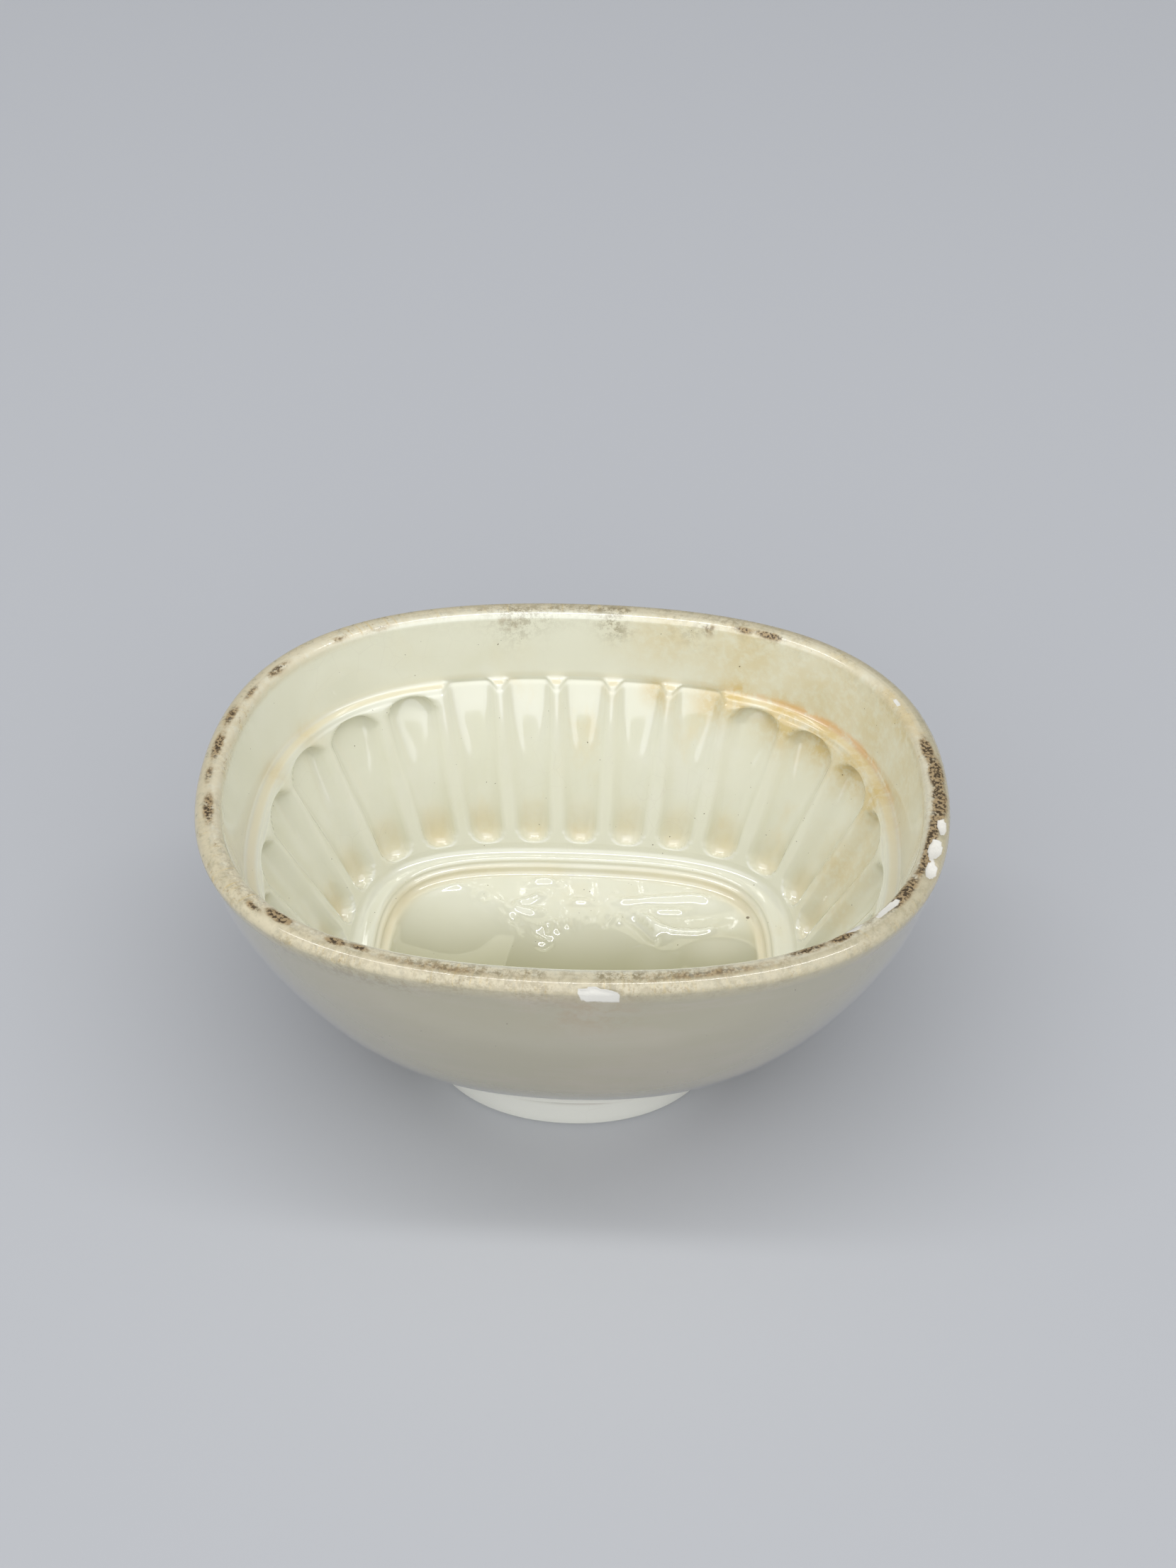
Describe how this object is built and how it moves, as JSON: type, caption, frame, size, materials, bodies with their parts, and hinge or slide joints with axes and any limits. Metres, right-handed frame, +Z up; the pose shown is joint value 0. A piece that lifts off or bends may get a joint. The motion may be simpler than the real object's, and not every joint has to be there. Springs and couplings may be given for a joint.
{
  "type": "jelly mould",
  "caption": "Oval glazed jelly mould in one piece: a deep bowl on a low oval foot, with a fluted inner wall, a ledge under the rim and an animal figure sunk in the flat base.",
  "frame": {"origin": "middle of the foot's underside, on the table", "axes": "+X along the mould's length, towards the figure's head; +Y across it, towards the far side as pictured; +Z up, out of the mould's mouth"},
  "size_m": [0.18, 0.138, 0.093],
  "materials": {
    "glazed_earthenware": "glossy cream glaze, yellow where it pools, stained and chipped at the rim"
  },
  "bodies": {
    "root": {"mould_body": "glazed_earthenware"}
  },
  "joints": []
}
